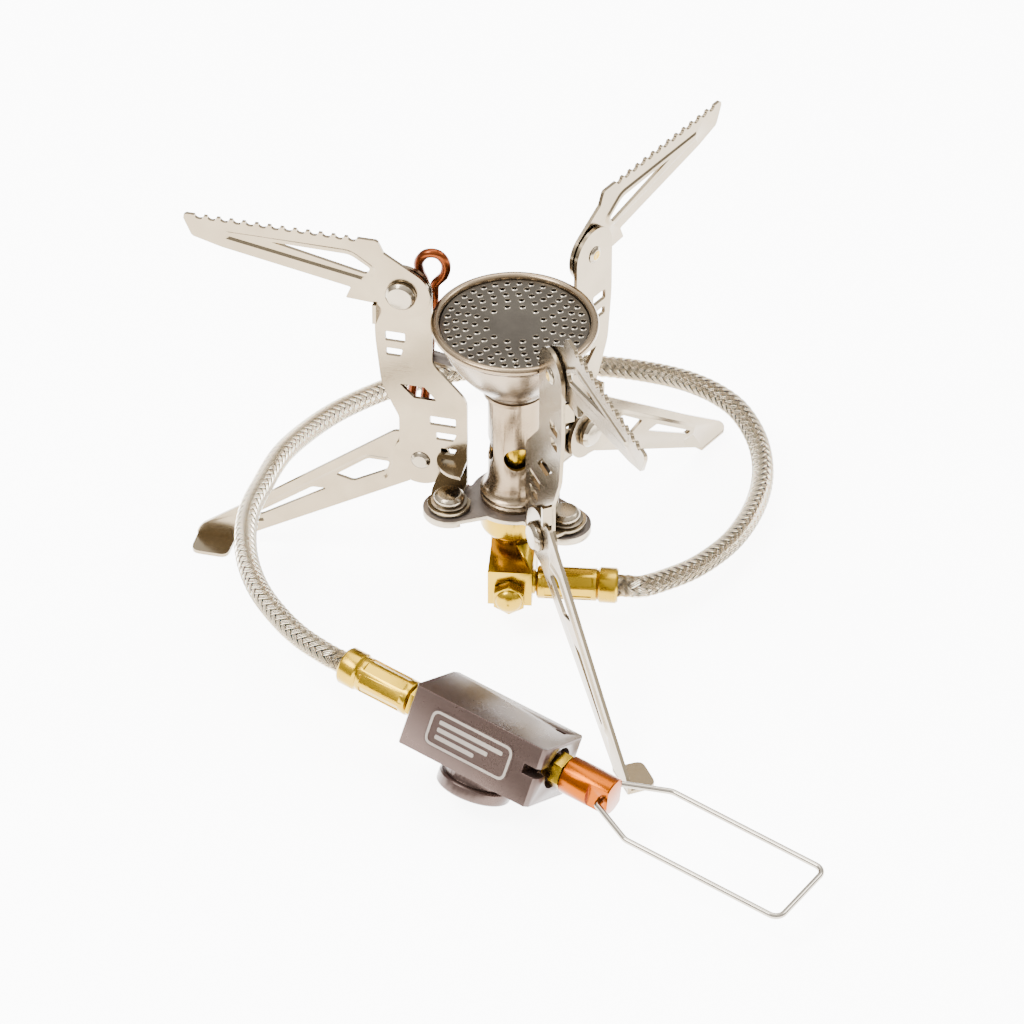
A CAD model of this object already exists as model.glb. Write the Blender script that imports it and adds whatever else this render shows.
import bpy
import bmesh
import math
from mathutils import Matrix, Vector


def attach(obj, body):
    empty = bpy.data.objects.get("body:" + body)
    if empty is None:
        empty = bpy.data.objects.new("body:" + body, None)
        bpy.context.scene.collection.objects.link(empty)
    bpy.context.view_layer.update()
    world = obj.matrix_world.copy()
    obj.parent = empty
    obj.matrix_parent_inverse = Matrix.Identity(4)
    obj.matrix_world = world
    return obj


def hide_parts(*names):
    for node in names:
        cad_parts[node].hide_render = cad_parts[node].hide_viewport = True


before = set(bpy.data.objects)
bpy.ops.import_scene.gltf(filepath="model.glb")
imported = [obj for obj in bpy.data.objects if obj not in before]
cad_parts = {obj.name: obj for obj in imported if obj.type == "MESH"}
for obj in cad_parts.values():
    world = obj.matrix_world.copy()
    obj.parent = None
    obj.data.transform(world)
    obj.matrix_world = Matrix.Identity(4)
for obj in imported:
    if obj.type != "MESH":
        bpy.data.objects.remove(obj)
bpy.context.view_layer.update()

# Lengths are in millimetres and angles in degrees, until finish_mesh scales to metres.
MM = 0.001
KEYS = "abc"
# where each support's swivel stands round the burner, and which way its plate points
SWIVEL_AZ = (196.6, 76.6, -43.4)
PLATE_AZ = (166.2, 52.8, -68.4)
SWIVEL_R = 17.6
BURNER_TOP = 87.4
BURNER_R = 21.4


# ------------------------------------------------------------------ frames and shapes

def rot(axis, degrees):
    return Matrix.Rotation(math.radians(degrees), 4, axis)


def at(x, y, z):
    return Matrix.Translation((x, y, z))


IDENTITY = Matrix.Identity(4)
VALVE_POS = (-6.1, -80.9, 17.3)
VALVE = at(*VALVE_POS) @ rot("Z", -33.5) @ rot("Y", 5.5) @ rot("X", -26)
KNOB = VALVE @ at(0, 0, 1.2) @ rot("X", 26)
SUPPORT = [rot("Z", s) @ at(SWIVEL_R, 0, 0) @ rot("Z", p - s) for s, p in zip(SWIVEL_AZ, PLATE_AZ)]


def arc(cx, cz, r, start, end):
    """Points on an arc, from start to end in degrees, about 7 degrees apart."""
    steps = max(2, int(abs(end - start) / 7))
    angles = [math.radians(start + (end - start) * k / steps) for k in range(steps + 1)]
    return [(cx + r * math.cos(a), cz + r * math.sin(a)) for a in angles]


def rounded(points, radius=0.6, steps=4):
    """A closed outline whose corners are rounded; a point may carry its own radius."""
    out = []
    n = len(points)
    for i in range(n):
        r = points[i][2] if len(points[i]) > 2 else radius
        p = Vector(points[i][:2])
        a, b = Vector(points[i - 1][:2]) - p, Vector(points[(i + 1) % n][:2]) - p
        cut = min(r, a.length * 0.45, b.length * 0.45)
        p0, p2 = p + a.normalized() * cut, p + b.normalized() * cut
        for k in range(steps + 1):
            t = k / steps
            out.append(tuple(p0 * (1 - t) ** 2 + p * 2 * t * (1 - t) + p2 * t ** 2))
    return out


def finish_mesh(name, bm, matrix, material, smooth=35, bevel=0.0, segments=2):
    """Turns a bmesh in millimetres into an object in the row frame."""
    bmesh.ops.recalc_face_normals(bm, faces=bm.faces)
    bmesh.ops.transform(bm, matrix=Matrix.Scale(MM, 4) @ matrix, verts=bm.verts)
    mesh = bpy.data.meshes.new(name)
    bm.to_mesh(mesh)
    bm.free()
    obj = bpy.data.objects.new(name, mesh)
    bpy.context.scene.collection.objects.link(obj)
    mesh.materials.append(material)
    shade(obj, smooth, bevel, segments)
    return obj


def shade(obj, smooth, bevel, segments=2):
    mesh = obj.data
    mesh.shade_smooth()
    if bevel:
        mod = obj.modifiers.new("edges", "BEVEL")
        mod.width = bevel * MM
        mod.segments = segments
        mod.limit_method = "ANGLE"
        mod.angle_limit = math.radians(smooth)
        mod.use_clamp_overlap = True
        mod.harden_normals = True
    else:
        mesh.set_sharp_from_angle(angle=math.radians(smooth))


def place(obj, body, nodes=()):
    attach(obj, body)
    if nodes:
        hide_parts(*nodes)
    return obj


def from_cad(node, body, material, bevel=0.12, smooth=32):
    """A piece with the CAD node's shape, welded, with its sharp edges broken."""
    bm = bmesh.new()
    bm.from_mesh(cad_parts[node].data)
    bmesh.ops.remove_doubles(bm, verts=bm.verts, dist=2e-6)
    bmesh.ops.dissolve_limit(bm, angle_limit=math.radians(0.6), verts=bm.verts, edges=bm.edges)
    bmesh.ops.transform(bm, matrix=Matrix.Scale(1 / MM, 4), verts=bm.verts)
    obj = finish_mesh("piece_" + node, bm, IDENTITY, material, smooth, bevel)
    return place(obj, body, [node])


def lathe(bm, profile, steps=96, matrix=IDENTITY):
    """Revolves (radius, height) points about +Z."""
    rings = []
    for r, z in profile:
        if r < 1e-6:
            rings.append([bm.verts.new(matrix @ Vector((0, 0, z)))])
            continue
        ring = []
        for k in range(steps):
            a = 2 * math.pi * k / steps
            ring.append(bm.verts.new(matrix @ Vector((r * math.cos(a), r * math.sin(a), z))))
        rings.append(ring)
    for one, two in zip(rings, rings[1:]):
        for k in range(steps):
            m = (k + 1) % steps
            quad = [one[k % len(one)], one[m % len(one)], two[m % len(two)], two[k % len(two)]]
            corners = list(dict.fromkeys(quad))
            if len(corners) > 2:
                bm.faces.new(corners)


def fill(bm, loops, y):
    """Fills the first loop, less the others, in the x-z plane at depth y."""
    made, edges = [], []
    for loop in loops:
        verts = [bm.verts.new((x, y, z)) for x, z in loop]
        edges += [bm.edges.new((verts[k - 1], verts[k])) for k in range(len(verts))]
        made.append(verts)
    bmesh.ops.triangle_fill(bm, use_beauty=True, use_dissolve=False, edges=edges)
    return made


def bridge(bm, one, two):
    for k in range(len(one)):
        bm.faces.new((one[k - 1], one[k], two[k], two[k - 1]))


def sheet(bm, outline, holes, y, t, recess=None, panel=None, windows=(), depth=0.4):
    """A flat sheet with holes and, if given, a panel pressed towards -y inside recess."""
    faces = []
    for s in (1, -1):
        level = y + s * t / 2
        if recess is None:
            faces.append(fill(bm, [outline, *holes], level))
            continue
        outer = fill(bm, [outline, *holes, recess], level)
        inner = fill(bm, [panel, *windows], level - depth)
        bridge(bm, outer[-1], inner[0])
        faces.append(outer[:-1] + inner[1:])
    for one, two in zip(*faces):
        bridge(bm, one, two)


def block(bm, x0, x1, y0, y1, z0, z1):
    verts = [bm.verts.new((x, y, z)) for x in (x0, x1) for y in (y0, y1) for z in (z0, z1)]
    for quad in ((0, 1, 3, 2), (4, 6, 7, 5), (0, 4, 5, 1), (2, 3, 7, 6), (0, 2, 6, 4), (1, 5, 7, 3)):
        bm.faces.new([verts[k] for k in quad])


def spline(points, steps):
    """Points along a smooth curve through the given ones."""
    p = [Vector(q) for q in points]
    out = []
    for i in range(len(p) - 1):
        a, b, c, d = p[max(i - 1, 0)], p[i], p[i + 1], p[min(i + 2, len(p) - 1)]
        for k in range(steps):
            t = k / steps
            out.append(0.5 * (2 * b + (c - a) * t + (2 * a - 5 * b + 4 * c - d) * t * t
                              + (3 * b - a - 3 * c + d) * t ** 3))
    return out + [p[-1]]


def resampled(points, step):
    """Evenly spaced points along a polyline, about step apart."""
    lengths = [0.0]
    for a, b in zip(points, points[1:]):
        lengths.append(lengths[-1] + (b - a).length)
    count = max(2, round(lengths[-1] / step))
    out, i = [], 0
    for k in range(count + 1):
        s = lengths[-1] * k / count
        while i < len(points) - 2 and lengths[i + 1] < s:
            i += 1
        t = (s - lengths[i]) / (lengths[i + 1] - lengths[i])
        out.append(points[i].lerp(points[i + 1], min(max(t, 0), 1)))
    return out, lengths[-1]


def carried_frames(points):
    """Tangent, normal and cross direction at each point, carried along without twist."""
    tangents = [(points[min(i + 1, len(points) - 1)] - points[max(i - 1, 0)]).normalized()
                for i in range(len(points))]
    normal = Vector((0, 0, 1))
    out = []
    for t in tangents:
        normal = (normal - t * normal.dot(t)).normalized()
        out.append((t, normal, t.cross(normal)))
    return out


def sweep(bm, points, radius, sides):
    """A round tube along the points, closed at both ends."""
    rings = []
    for p, (_, n, c) in zip(points, carried_frames(points)):
        rings.append([bm.verts.new(p + radius * (math.cos(2 * math.pi * k / sides) * n
                                                 + math.sin(2 * math.pi * k / sides) * c))
                      for k in range(sides)])
    for one, two in zip(rings, rings[1:]):
        bridge(bm, one, two)
    bm.faces.new(rings[0])
    bm.faces.new(rings[-1])


# ------------------------------------------------------------------ materials

BLOTCH_SCALE = 60.0
GRAIN_DEPTH = 0.04 * MM


def new_material(name):
    mat = bpy.data.materials.new(name)
    mat.use_nodes = True
    nodes = mat.node_tree.nodes
    links = mat.node_tree.links
    return mat, nodes, links, nodes["Principled BSDF"]


def noise(nodes, links, coords, scale, detail=4.0, stretch=(1, 1, 1), rough=0.6):
    mapping = nodes.new("ShaderNodeMapping")
    mapping.inputs["Scale"].default_value = stretch
    links.new(coords, mapping.inputs["Vector"])
    tex = nodes.new("ShaderNodeTexNoise")
    tex.inputs["Scale"].default_value = scale
    tex.inputs["Detail"].default_value = detail
    tex.inputs["Roughness"].default_value = rough
    links.new(mapping.outputs["Vector"], tex.inputs["Vector"])
    return tex.outputs["Fac"]


def ramp(nodes, links, source, low, high, start=0.3, end=0.7):
    """A value that goes from low to high as source goes from start to end."""
    node = nodes.new("ShaderNodeMapRange")
    node.inputs["From Min"].default_value = start
    node.inputs["From Max"].default_value = end
    node.inputs["To Min"].default_value = low
    node.inputs["To Max"].default_value = high
    links.new(source, node.inputs["Value"])
    return node.outputs["Result"]


def blend_colours(nodes, links, factor, one, two):
    mix = nodes.new("ShaderNodeMix")
    mix.data_type = "RGBA"
    links.new(factor, mix.inputs["Factor"])
    for socket, value in (("A", one), ("B", two)):
        target = [s for s in mix.inputs if s.name == socket and s.type == "RGBA"][0]
        if isinstance(value, tuple):
            target.default_value = (*value, 1)
        else:
            links.new(value, target)
    return [s for s in mix.outputs if s.type == "RGBA"][0]


def surface(name, colour, tint, metallic, roughness, spread=0.08, grain=900.0,
            stretch=(1, 1, 1), bump=0.12):
    """Colour drifts slowly to tint, roughness wanders, and a fine grain bumps the surface."""
    mat, nodes, links, bsdf = new_material(name)
    coords = nodes.new("ShaderNodeTexCoord").outputs["Object"]
    slow = noise(nodes, links, coords, BLOTCH_SCALE, 3.0)
    fine = noise(nodes, links, coords, grain, 5.0, stretch)
    colour_out = blend_colours(nodes, links, ramp(nodes, links, slow, 0, 1), colour, tint)
    links.new(colour_out, bsdf.inputs["Base Color"])
    rough = nodes.new("ShaderNodeMath")
    rough.operation = "ADD"
    links.new(ramp(nodes, links, slow, roughness - spread, roughness), rough.inputs[0])
    links.new(ramp(nodes, links, fine, 0, spread), rough.inputs[1])
    links.new(rough.outputs[0], bsdf.inputs["Roughness"])
    bumper = nodes.new("ShaderNodeBump")
    bumper.inputs["Strength"].default_value = bump
    bumper.inputs["Distance"].default_value = GRAIN_DEPTH
    links.new(fine, bumper.inputs["Height"])
    links.new(bumper.outputs["Normal"], bsdf.inputs["Normal"])
    bsdf.inputs["Metallic"].default_value = metallic
    return mat


def edged(name, colour, bare_colour, metallic=0.6, lighter=1.4, upright_from=0.6, flat_from=0.95):
    """Dark faces that look up or down, with bare metal on the cut edges between them."""
    mat = surface(name, colour, tuple(v * lighter for v in colour), metallic, roughness=0.36, spread=0.1)
    nodes, links = mat.node_tree.nodes, mat.node_tree.links
    bsdf = nodes["Principled BSDF"]
    split = nodes.new("ShaderNodeSeparateXYZ")
    links.new(nodes.new("ShaderNodeNewGeometry").outputs["Normal"], split.inputs[0])
    flatness = nodes.new("ShaderNodeMath")
    flatness.operation = "ABSOLUTE"
    links.new(split.outputs["Z"], flatness.inputs[0])
    bare = ramp(nodes, links, flatness.outputs[0], 1, 0, upright_from, flat_from)
    dark = bsdf.inputs["Base Color"].links[0].from_socket
    links.new(blend_colours(nodes, links, bare, dark, bare_colour), bsdf.inputs["Base Color"])
    links.new(ramp(nodes, links, bare, metallic, 1, 0, 1), bsdf.inputs["Metallic"])
    return mat


STEEL = surface("sheet_steel", (0.225, 0.178, 0.115), (0.185, 0.145, 0.092),
                metallic=1, roughness=0.21, spread=0.07, grain=700, stretch=(1, 1, 6), bump=0.06)
CUP_STEEL = surface("burner_steel", (0.22, 0.165, 0.105), (0.17, 0.122, 0.074),
                    metallic=1, roughness=0.25, spread=0.06, grain=500, stretch=(1, 1, 14), bump=0.1)
PORT_STEEL = surface("port_steel", (0.082, 0.071, 0.056), (0.044, 0.037, 0.029),
                     metallic=1, roughness=0.34, grain=1200, bump=0.15)
LIP_STEEL = surface("port_lip_steel", (0.36, 0.32, 0.26), (0.27, 0.235, 0.19),
                    metallic=1, roughness=0.28, spread=0.06, grain=1200, bump=0.05)
DARK_STEEL = edged("dark_steel", (0.080, 0.064, 0.052), bare_colour=(0.30, 0.25, 0.18))
BRASS = surface("brass", (0.34, 0.212, 0.012), (0.28, 0.17, 0.008),
                metallic=1, roughness=0.24, spread=0.06, grain=800, bump=0.05)
COPPER = surface("copper", (0.17, 0.042, 0.011), (0.06, 0.014, 0.005),
                 metallic=1, roughness=0.30, spread=0.12, grain=500)
TAUPE = surface("anodised_taupe", (0.066, 0.042, 0.034), (0.053, 0.034, 0.028),
                metallic=0.75, roughness=0.30, spread=0.06, grain=1500, bump=0.06)
ETCHED = surface("etched_light", (0.27, 0.235, 0.20), (0.22, 0.19, 0.165),
                 metallic=0.8, roughness=0.45, spread=0.06, grain=1500)
ORANGE = surface("anodised_orange", (0.22, 0.048, 0.0), (0.19, 0.04, 0.0),
                 metallic=1, roughness=0.24, spread=0.06, grain=1500, bump=0.04)
WIRE = surface("wire_steel", (0.30, 0.27, 0.22), (0.25, 0.22, 0.18),
               metallic=1, roughness=0.16, spread=0.06, bump=0.05)
RIVET = surface("rivet_steel", (0.28, 0.235, 0.17), (0.21, 0.17, 0.12),
                metallic=1, roughness=0.22, grain=700, bump=0.05)
WASHER = surface("washer_steel", (0.21, 0.175, 0.13), (0.145, 0.12, 0.085),
                 metallic=1, roughness=0.32, grain=700, bump=0.05)
BRAID = surface("braid", (0.74, 0.66, 0.53), (0.62, 0.55, 0.43),
                metallic=0.95, roughness=0.22, spread=0.06, bump=0.0)
CORE = surface("hose_core", (0.03, 0.025, 0.02), (0.02, 0.017, 0.013),
               metallic=0.3, roughness=0.55, spread=0.1, bump=0.0)
RUBBER = surface("seal_rubber", (0.02, 0.02, 0.02), (0.03, 0.03, 0.03),
                 metallic=0.0, roughness=0.55, spread=0.1)
SOOT = surface("burner_inside", (0.03, 0.028, 0.026), (0.05, 0.045, 0.04),
               metallic=0.3, roughness=0.7, spread=0.1)


# ------------------------------------------------------------------ camera

CAMERA_PLACE = (-0.00073, -1.4388, 1.1643)
CAMERA_DOWN = 38.36
CAMERA_LENS = 249.95
CAMERA_SENSOR = 36
CAMERA_REACH = 10


def make_camera():
    data = bpy.data.cameras.new("camera")
    data.lens = CAMERA_LENS
    data.sensor_width = CAMERA_SENSOR
    data.clip_end = CAMERA_REACH
    cam = bpy.data.objects.new("camera", data)
    cam.location = CAMERA_PLACE
    cam.rotation_euler = (math.radians(90 - CAMERA_DOWN), 0, 0)
    bpy.context.scene.collection.objects.link(cam)
    bpy.context.scene.camera = cam


make_camera()


# ------------------------------------------------------------------ hose

FERRULE_L = 21.4
FERRULE_TURN = -4.5
FERRULE_BASE = rot("Z", FERRULE_TURN) @ Vector((6.2, -10.9, 11.7))
VALVE_TO_HOSE = 44
HOSE_R = 3.0
CORE_R = HOSE_R - 0.7
HOSE_STEP = 0.7
INSERTED = 0.4
hose_dir = rot("Z", FERRULE_TURN) @ Vector((1, 0, 0))
valve_dir = (VALVE.to_3x3() @ Vector((1, 0, 0))).normalized()
hose_start = FERRULE_BASE + hose_dir * FERRULE_L
hose_end = Vector(VALVE_POS) - valve_dir * VALVE_TO_HOSE
HOSE_ROUTE = [
    (38.8, -9.8, 11), (45.2, -5, 10.3), (50.8, 0.8, 9.8), (56.4, 8.6, 9.2), (61, 18.2, 8.8),
    (64.2, 28.4, 8.8), (65.5, 38, 9.2), (64.9, 47, 10), (62.6, 54.6, 11.2), (58.8, 61.4, 12.4),
    (53.4, 67.2, 12.8), (47.4, 72.2, 12.4), (41.4, 76.4, 11.4), (35, 79.8, 10.4),
    (28.2, 82.2, 9.8), (18, 84, 9.4), (8, 84.4, 9.4), (-2, 83.6, 9.6), (-12, 81.2, 10.2),
    (-20, 77.8, 11), (-28.4, 72.4, 12.4), (-36, 66, 14.2), (-46, 55, 16.8), (-54, 43.4, 19),
    (-61, 29.6, 21.4), (-65.8, 14.8, 22.4), (-68.6, 4.4, 22.7), (-69.4, -6, 22.7),
    (-68.4, -17.4, 22.7), (-65.2, -28.6, 22.5), (-60.2, -38.4, 22.3), (-54.4, -46.6, 22.1)]
hose_points = ([hose_start - INSERTED * hose_dir, hose_start + 2.5 * hose_dir, hose_start + 6 * hose_dir]
               + [Vector(p) for p in HOSE_ROUTE]
               + [hose_end - 6 * valve_dir, hose_end - 2.5 * valve_dir, hose_end + INSERTED * valve_dir])


BRAID_ANGLE = 42


def braid(bm, points, length, carriers=8, wires=3, pitch=18.0, wire_r=0.2, lift=0.2):
    """Flat bundles of wire wound both ways round the hose, two over and two under."""
    frames = carried_frames(points)
    mean_r = HOSE_R - wire_r - lift
    turn = 2 * math.pi / pitch
    step = length / (len(points) - 1)
    spacing = 2 * wire_r / mean_r / math.cos(math.radians(BRAID_ANGLE))
    for way in (1, -1):
        for i in range(carriers):
            for w in range(wires):
                offset = (w - (wires - 1) / 2) * spacing
                rings = []
                for j, (p, (_, n, c)) in enumerate(zip(points, frames)):
                    s = j * step
                    a = 2 * math.pi * i / carriers + way * turn * s
                    weave = math.cos(math.pi * i + way * carriers * turn * s / 2 + math.pi / 4)
                    r = mean_r + way * lift * weave
                    ring = []
                    for da, dr in ((-1, 0), (0, 1), (1, 0), (0, -1)):
                        b = a + offset + da * wire_r / mean_r
                        out = math.cos(b) * n + math.sin(b) * c
                        ring.append(bm.verts.new(p + (r + dr * wire_r) * out))
                    rings.append(ring)
                for one, two in zip(rings, rings[1:]):
                    bridge(bm, one, two)


def make_hose():
    line, length = resampled(spline(hose_points, 6), HOSE_STEP)
    bm = bmesh.new()
    braid(bm, line, length)
    braided = finish_mesh("hose_braid", bm, IDENTITY, BRAID, 80)
    place(braided, "stove", ["hose"])
    bm = bmesh.new()
    sweep(bm, line, CORE_R, 16)
    core = finish_mesh("hose_core", bm, IDENTITY, CORE, 60)
    place(core, "stove")


make_hose()


# ------------------------------------------------------------------ burner

DISC_R = BURNER_R - 2.5
DISC_Z = BURNER_TOP - 2.1
DISC_T = 0.8
LIP_R = 1.1
THROAT_R = 8.1
PREHEAT_R = 1.25
INSIDE_R = 16.5
# radius of each ring of ports, and how many it has
PORT_RINGS = ((17.4, 35), (15.1, 30), (12.7, 24), (10.2, 18), (7.5, 12))


def make_cup():
    """The bell and the rolled rim, as one profile of (radius, height) points."""
    centre_r, centre_z = BURNER_R - LIP_R, BURNER_TOP - LIP_R
    roll = [(centre_r + LIP_R * math.cos(math.radians(a)), centre_z + LIP_R * math.sin(math.radians(a)))
            for a in range(-70, 171, 12)]
    outer = [(THROAT_R, 65), (THROAT_R, 66), (THROAT_R - 0.4, 66.2), (THROAT_R + 0.4, 67.2),
             (THROAT_R + 0.8, 68.2),
             (10.2, 69.2), (11.6, 70.6), (13.0, 72.1), (14.2, 73.6), (15.7, 75.6), (17.0, 77.8),
             (18.3, 80.4), (19.3, 82.6), (19.9, 84), (20.2, 84.9)]
    inner = [(DISC_R + 0.1, DISC_Z), (DISC_R - 0.6, DISC_Z), (DISC_R - 0.6, 82.6), (16.1, 77.9),
             (13.4, 74.1), (10.9, 71.3), (6.9, 68.6), (6.9, 65)]
    bm = bmesh.new()
    lathe(bm, outer + roll + inner + outer[:1], 128)
    bowl = finish_mesh("burner_bowl", bm, IDENTITY, CUP_STEEL, 40)
    place(bowl, "stove", ["burner_cup"])


def make_port_disc():
    from_cad("port_disc", "stove", PORT_STEEL, 0.0)
    bm = bmesh.new()
    top = DISC_Z + DISC_T
    for radius, count in PORT_RINGS:
        for k in range(count):
            matrix = rot("Z", 360 * k / count + 2 * radius) @ at(radius, 0, 0)
            lathe(bm, [(0.67, top - 0.5), (0.68, top + 0.12), (0.74, top + 0.2), (0.82, top + 0.16),
                       (0.9, top + 0.04), (0.98, top - 0.04)], 20, matrix)
    place(finish_mesh("port_lips", bm, IDENTITY, LIP_STEEL, 60), "stove")
    bm = bmesh.new()
    top, bottom = DISC_Z - 1.6, DISC_Z - 1.9
    lathe(bm, [(0, top), (INSIDE_R, top), (INSIDE_R, bottom), (0, bottom)], 64)
    place(finish_mesh("burner_inside", bm, IDENTITY, SOOT, 40), "stove")


PREHEAT_ROUTE = [
    (-6.2, 4.4, 25.6), (-10.8, 7.4, 26), (-17, 11, 29), (-22, 12.6, 34), (-23.8, 12.7, 40),
    (-23.6, 12.5, 48), (-22.8, 12, 56), (-22, 11.2, 66), (-21.3, 10.8, 76), (-20.7, 10.6, 82),
    (-20.5, 10.6, 87), (-20.2, 10.4, 91), (-17.9, 9.8, 94.4), (-17.5, 9.5, 98.2), (-19.4, 9.5, 101),
    (-22.4, 9.8, 101), (-24.3, 10.2, 98.2), (-24, 10.7, 94.6), (-23, 11.6, 91.2), (-22.9, 12.2, 86),
    (-24, 12.6, 77), (-25.4, 12.9, 66), (-26.2, 13.6, 56), (-27, 14.4, 48), (-27.2, 14.8, 40),
    (-25, 14.8, 33), (-19.5, 13.2, 27), (-12.4, 9.2, 23.8), (-6, 5.2, 23)]


def make_preheat_tube():
    bm = bmesh.new()
    line, _ = resampled(spline(PREHEAT_ROUTE, 8), 0.7)
    sweep(bm, line, PREHEAT_R, 20)
    tube = finish_mesh("preheat_pipe", bm, IDENTITY, COPPER, 50)
    place(tube, "stove", ["preheat_tube"])


make_cup()
make_port_disc()
make_preheat_tube()
from_cad("mixing_tube", "stove", CUP_STEEL, 0.08)
from_cad("base_plate", "stove", DARK_STEEL, 0.3, 40)
from_cad("preheat_clip", "stove", DARK_STEEL, 0.1)
from_cad("jet_block", "stove", BRASS, 0.25)
from_cad("jet_nozzle", "stove", BRASS, 0.1)
from_cad("plug_nut", "stove", BRASS, 0.2, 22)
from_cad("plug_washer", "stove", WASHER, 0.08)
from_cad("burner_ferrule", "stove", BRASS, 0.12, 28)

# ------------------------------------------------------------------ valve

from_cad("valve_ferrule", "stove", BRASS, 0.12, 28)
from_cad("hose_nut", "stove", BRASS, 0.2, 28)
from_cad("valve_block", "stove", TAUPE, 0.18, 28)
from_cad("canister_collar", "stove", TAUPE, 0.12, 28)
from_cad("packing_nut", "stove", BRASS, 0.15, 28)
from_cad("knob", "knob", ORANGE, 0.15, 28)
for node in ("canister_seal", "spindle_oring"):
    from_cad(node, "stove", RUBBER, 0.1)
from_cad("depressor_pin", "stove", BRASS, 0.03)
from_cad("spindle", "knob", BRASS, 0.05)


BLOCK_FRONT = -10.7
BAR_START = -9.4
BAR_HALF = 0.55


def badge_outline(grow):
    l, h = 12.3 + grow, 4.9 + grow
    return rounded([(l, -h), (l, h), (-l, h), (-l, -h)], 2.6 + grow, 8)


def make_face_plate():
    """A plain label plate: a framed rectangle with three bars of falling length."""
    matrix = VALVE @ at(-0.5, 0, 0)
    bm = bmesh.new()
    sheet(bm, badge_outline(0), [], BLOCK_FRONT - 0.1, 0.2)
    plate = finish_mesh("face_badge", bm, matrix, TAUPE, 30, 0.05)
    place(plate, "stove", ["face_plate"])
    bm = bmesh.new()
    sheet(bm, badge_outline(-0.3), [badge_outline(-1.0)], BLOCK_FRONT - 0.22, 0.16)
    for z, reach in ((2.0, 9.4), (0.0, 5.6), (-2.0, 2.2)):
        bar = [(BAR_START, z - BAR_HALF), (reach, z - BAR_HALF), (reach, z + BAR_HALF),
               (BAR_START, z + BAR_HALF)]
        sheet(bm, rounded(bar, 0.4), [], BLOCK_FRONT - 0.22, 0.16)
    lines = finish_mesh("face_badge_lines", bm, matrix, ETCHED, 30, 0.03)
    place(lines, "stove")


make_face_plate()


def make_handle():
    """The wire: in at the knob's cross hole, round the loop and back."""
    cross_x, half, side, start, far = 34.4, 10.9, 4.8, 12.4, 57.2
    wire_r = 0.79
    corners = [(0, -1.2), (0, -side), (start, -half), (far, -half), (far, half), (start, half),
               (0, side), (0, 1.2)]
    radii = (0, 1.2, 4.0, 2.6, 2.6, 4.0, 1.2, 0)
    path = [Vector((*corners[0], 0))]
    for i in range(1, len(corners) - 1):
        p, a, b = (Vector((*corners[j], 0)) for j in (i, i - 1, i + 1))
        u, v = (p - a).normalized(), (b - p).normalized()
        turn = u.angle(v)
        cut = radii[i] * math.tan(turn / 2)
        centre = p - u * cut + Vector((-u.y, u.x, 0)) * radii[i]
        first = math.atan2(u.y, u.x) - math.pi / 2
        for k in range(9):
            ang = first + turn * k / 8
            path.append(centre + radii[i] * Vector((math.cos(ang), math.sin(ang), 0)))
    path.append(Vector((*corners[-1], 0)))
    bm = bmesh.new()
    sweep(bm, path, wire_r, 20)
    obj = finish_mesh("handle_wire", bm, KNOB @ at(cross_x, 0, 0), WIRE, 60)
    place(obj, "handle", ["wire_handle"])


make_handle()

# ------------------------------------------------------------------ supports

SHEET_T = 1.0
TAB_R = 5.6
PLATE_Y = -9.3
ARM_Y = PLATE_Y + 1.6
LEG_Y = PLATE_Y - 1.6
ARM_PIVOT = (14, 91.5)
LEG_PIVOT = (9.8, 38)
EYE_R = 7.5
POT_Z = 107
TAB_Z = 32.1

# Outlines are (across, up) in a support's own frame, and a third number rounds the corner.
UPRIGHT_OUTLINE = (
    [(-2.6, TAB_Z)] + arc(*LEG_PIVOT, EYE_R, -128, 41.8)
    + rounded([(15.4, 43.2, 0.2), (15.4, 51.2, 0.8), (17.2, 55, 1.5), (20, 61.4, 2),
               (21.5, 76, 3), (21.5, 90, 0.2)], steps=3)
    + arc(*ARM_PIVOT, EYE_R, 0, 180) + rounded([(6.5, 90, 0.2), (6.5, 69.4, 1.5), (-2.6, 59, 2.2),
                                                (-2.6, 34, 0.5)], steps=3))
UPRIGHT_HOLES = [
    rounded([(13.6, 75), (18.8, 75), (18.8, 78), (13.6, 78)], 0.5),
    rounded([(14.8, 70.4), (18.6, 70.4), (18.6, 72.8), (14.2, 72.8)], 0.5),
    rounded([(5.4, 57.8), (11.4, 57.8), (15.2, 61.8), (8.6, 61.8)], 0.4),
    rounded([(0.4, 50), (7.2, 50), (7.2, 52.8), (0.4, 52.8)], 0.4),
    rounded([(1.1, 45.4), (5.6, 45.4), (5.6, 47.8), (0.2, 47.8)], 0.4),
    rounded([(1.1, 41), (4.4, 41), (4.4, 43), (0.2, 43)], 0.4)]


def teeth(start, end, z, count, depth):
    out = []
    pitch = (end - start) / count
    for i in range(count):
        out += [(start + pitch * (i + 0.5) - 0.36 * pitch * math.cos(math.radians(a)),
                 z - depth * math.sin(math.radians(a))) for a in range(0, 181, 20)]
    return out


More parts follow.
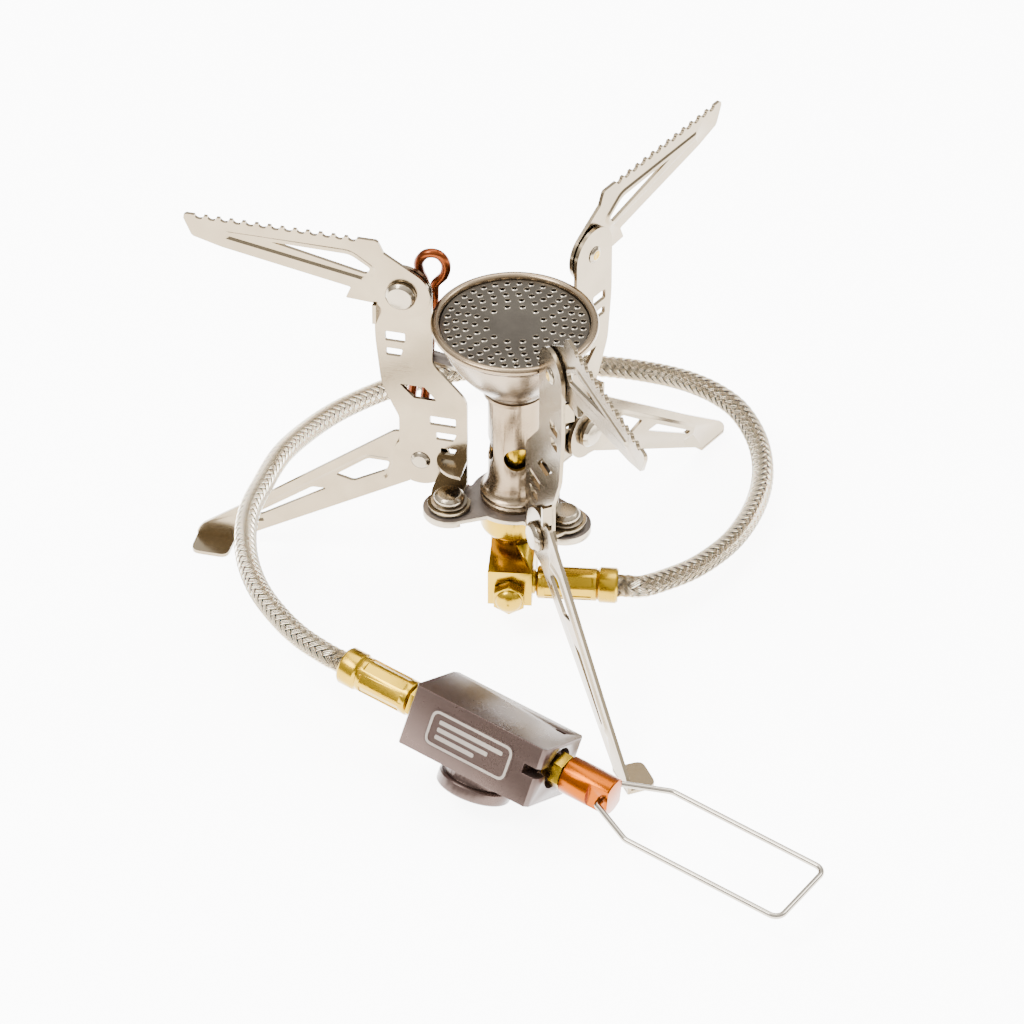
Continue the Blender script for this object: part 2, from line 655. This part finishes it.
ARM_OUTLINE = ([(18.6, POT_Z - 3.6), (19.5, POT_Z - 1.5), (20.0, POT_Z - 0.4), (20.6, POT_Z), (25, POT_Z)]
               + teeth(25, 68.4, POT_Z, 13, 1.1)
               + [(70.2, POT_Z), (70.8, POT_Z - 0.4), (70.9, POT_Z - 1.4), (69, POT_Z - 6),
                  (68.4, POT_Z - 6.6), (61, POT_Z - 8.8), (27.6, POT_Z - 15.4), (27.3, POT_Z - 15.7),
                  (28.5, POT_Z - 18.7), (28.3, POT_Z - 19), (22.2, POT_Z - 19.4), (20.6, POT_Z - 19.4)]
               + arc(*ARM_PIVOT, EYE_R, -34, -237.6))
ARM_RECESS = rounded([(60.6, 103.4, 1.2), (27, 103.2, 2), (20, 98.2, 2), (22.4, 93.9, 2),
                      (60.6, 101.1, 1)])
ARM_PANEL = rounded([(59.4, 102.8, 0.8), (27.2, 102.5, 1.8), (21.0, 98.0, 1.4), (22.9, 94.9, 1.4),
                     (59.4, 101.7, 0.5)])
ARM_WINDOW = rounded([(48, 101.7, 0.3), (27.4, 101.4, 1.6), (22, 97.8, 1.2), (23.2, 95.9, 0.8)])

LEG_OUTLINE = ([(16.6, 44.95), (17.4, 44.7), (18, 44.3), (53.4, 16.6), (69.2, 4.8), (70.4, 3.4), (71, 2.0),
                (71, 0.5), (60.8, 0.5), (60.8, 1.1), (53, 5.8), (14, 29.0), (12.4, 30.0)]
               + arc(*LEG_PIVOT, EYE_R, -88, -272) + [(11.4, 44.95)])
LEG_RECESS = rounded([(17.2, 36, 1.5), (24.8, 36, 1.5), (58.2, 10.4, 1), (57.6, 8, 1), (53, 8.4, 1),
                      (18.8, 29.2, 2)])
LEG_PANEL = rounded([(18, 35.2, 1.2), (24.5, 35.2, 1.3), (56.9, 10.3, 0.7), (56.6, 8.9, 0.6),
                     (53.4, 9.2, 0.7), (19.3, 30, 1.6)])
LEG_WINDOWS = [rounded([(18.6, 34.4), (24.4, 34.4), (33.2, 27.4), (28.4, 26.2), (19.4, 31.4)], 0.8),
               rounded([(35.6, 22.4), (39.6, 22.2), (55, 10.5), (53.6, 10.3)], 0.7)]


def make_upright(k, matrix):
    bm = bmesh.new()
    sheet(bm, UPRIGHT_OUTLINE, UPRIGHT_HOLES, PLATE_Y, SHEET_T)
    block(bm, 20.5, 21.5, PLATE_Y, PLATE_Y + 3, 81.6, 87.4)
    block(bm, 14.4, 15.4, PLATE_Y - 3, PLATE_Y, 45.1, 50.9)
    place(finish_mesh("upright_plate_" + k, bm, matrix, STEEL, 30, 0.14), "upright_" + k,
          ["upright_" + k])
    bm = bmesh.new()
    inner = PLATE_Y - 0.5
    foot = [(-2.6, inner), (-2.6, -4)] + arc(0, 0, TAB_R, 200, -20) + [(TAB_R, -4), (TAB_R, inner)]
    sheet(bm, [(x, -y) for x, y in foot], [], 0, SHEET_T)
    flat = Matrix(((1, 0, 0, 0), (0, 0, -1, 0), (0, 1, 0, TAB_Z + SHEET_T / 2), (0, 0, 0, 1)))
    place(finish_mesh("upright_tab_" + k, bm, matrix @ flat, STEEL, 30, 0.14), "upright_" + k)
    bm = bmesh.new()
    shelf = [(0, 0)] + arc(0, 0, 8, 0, 90)
    sheet(bm, [(x, -y) for x, y in shelf], [], 0, SHEET_T)
    flat = Matrix(((1, 0, 0, -2.6), (0, 0, -1, PLATE_Y), (0, 1, 0, 39.7), (0, 0, 0, 1)))
    place(finish_mesh("upright_shelf_" + k, bm, matrix @ flat, STEEL, 30, 0.14), "upright_" + k)


def make_arm(k, matrix):
    bm = bmesh.new()
    sheet(bm, ARM_OUTLINE, [], ARM_Y, SHEET_T, ARM_RECESS, ARM_PANEL, [ARM_WINDOW])
    plate = finish_mesh("arm_plate_" + k, bm, matrix, STEEL, 25, 0.12)
    place(plate, "arm_" + k, ["arm_" + k])


def make_leg(k, matrix):
    bm = bmesh.new()
    sheet(bm, LEG_OUTLINE, [], LEG_Y, SHEET_T, LEG_RECESS, LEG_PANEL, LEG_WINDOWS)
    plate = finish_mesh("leg_plate_" + k, bm, matrix, STEEL, 25, 0.12)
    place(plate, "leg_" + k, ["leg_" + k])
    bm = bmesh.new()
    pad = rounded([(60.8, LEG_Y - 0.5, 0.2), (71, LEG_Y - 0.5, 0.4), (71, LEG_Y + 7.5, 2.6),
                   (61, LEG_Y + 7.5, 2.2)])
    sheet(bm, [(x, -y) for x, y in pad], [], 0, SHEET_T)
    flat = Matrix(((1, 0, 0, 0), (0, 0, -1, 0), (0, 1, 0, 0.5), (0, 0, 0, 1)))
    foot = finish_mesh("leg_foot_" + k, bm, matrix @ flat, STEEL, 30, 0.25, 3)
    place(foot, "leg_" + k)


def make_rivet_eye(k, matrix):
    """The dimpled brass tail in the middle of the arm rivet, on the upright's side."""
    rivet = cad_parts["arm_rivet_" + k].data
    corners = [matrix.inverted() @ (v.co / MM) for v in rivet.vertices]
    tail = min(p.y for p in corners)
    axis = at(ARM_PIVOT[0], tail, ARM_PIVOT[1]) @ rot("X", 90)
    bm = bmesh.new()
    lathe(bm, [(0, 0.02), (0.45, 0.02), (0.6, 0.1), (1.05, 0.12), (1.3, 0.02), (1.3, -0.1), (0, -0.1)],
          32, matrix @ axis)
    place(finish_mesh("arm_rivet_eye_" + k, bm, IDENTITY, BRASS, 50), "upright_" + k)


for k, matrix in zip(KEYS, SUPPORT):
    make_upright(k, matrix)
    make_rivet_eye(k, matrix)
    make_arm(k, matrix)
    make_leg(k, matrix)
    for part in ("arm_rivet_", "leg_rivet_"):
        from_cad(part + k, "upright_" + k, RIVET, 0.25)
    for part in ("arm_washer_", "leg_washer_"):
        from_cad(part + k, "upright_" + k, WASHER, 0.06)
    from_cad("swivel_rivet_" + k, "stove", RIVET, 0.25)
    from_cad("swivel_washer_" + k, "stove", WASHER, 0.06)


# ------------------------------------------------------------------ floor and light

FLOOR_HALF = 3000
FLOOR_GLOW = (7.5, 0.5)
FLOOR_GLOW_REACH = (0.4, 1.4)
HORIZON = (0.26, 0.25, 0.24)
SKY = (1.0, 1.0, 1.0)
SKY_STRENGTH = 2.9
LIGHT_AIM = (0, 0, 0.04)


def make_floor():
    """A plain white floor that glows near the stove, as a light table does."""
    bm = bmesh.new()
    block(bm, -FLOOR_HALF, FLOOR_HALF, -FLOOR_HALF, FLOOR_HALF, -2, 0)
    mat, nodes, links, bsdf = new_material("floor")
    coords = nodes.new("ShaderNodeTexCoord").outputs["Object"]
    tone = noise(nodes, links, coords, 3.0, 2.0)
    links.new(blend_colours(nodes, links, tone, (0.90, 0.90, 0.90), (0.92, 0.92, 0.92)),
              bsdf.inputs["Base Color"])
    bsdf.inputs["Roughness"].default_value = 0.6
    bsdf.inputs["Specular IOR Level"].default_value = 0.2
    bsdf.inputs["Emission Color"].default_value = (1, 1, 1, 1)
    away = nodes.new("ShaderNodeVectorMath")
    away.operation = "LENGTH"
    links.new(coords, away.inputs[0])
    glow = ramp(nodes, links, away.outputs["Value"], *FLOOR_GLOW, *FLOOR_GLOW_REACH)
    links.new(glow, bsdf.inputs["Emission Strength"])
    finish_mesh("floor", bm, IDENTITY, mat, 30)


def area_light(name, location, size, power):
    data = bpy.data.lights.new(name, "AREA")
    data.energy = power
    data.shape = "RECTANGLE"
    data.size = size
    data.size_y = size
    obj = bpy.data.objects.new(name, data)
    obj.location = location
    aim = Vector(LIGHT_AIM) - Vector(location)
    obj.rotation_euler = aim.to_track_quat("-Z", "Y").to_euler()
    bpy.context.scene.collection.objects.link(obj)


def make_world():
    world = bpy.data.worlds.new("studio")
    bpy.context.scene.world = world
    world.use_nodes = True
    nodes, links = world.node_tree.nodes, world.node_tree.links
    back = nodes["Background"]
    coords = nodes.new("ShaderNodeTexCoord").outputs["Generated"]
    split = nodes.new("ShaderNodeSeparateXYZ")
    links.new(coords, split.inputs[0])
    height = ramp(nodes, links, split.outputs["Z"], 0, 1, 0.05, 0.95)
    links.new(blend_colours(nodes, links, height, HORIZON, SKY), back.inputs["Color"])
    back.inputs["Strength"].default_value = SKY_STRENGTH


make_floor()
make_world()
area_light("key", location=(-0.5, -0.3, 0.9), size=0.4, power=16)
area_light("fill", location=(0.7, 0.2, 0.7), size=0.35, power=6)
area_light("top", location=(0.0, 0.3, 1.1), size=0.7, power=12)
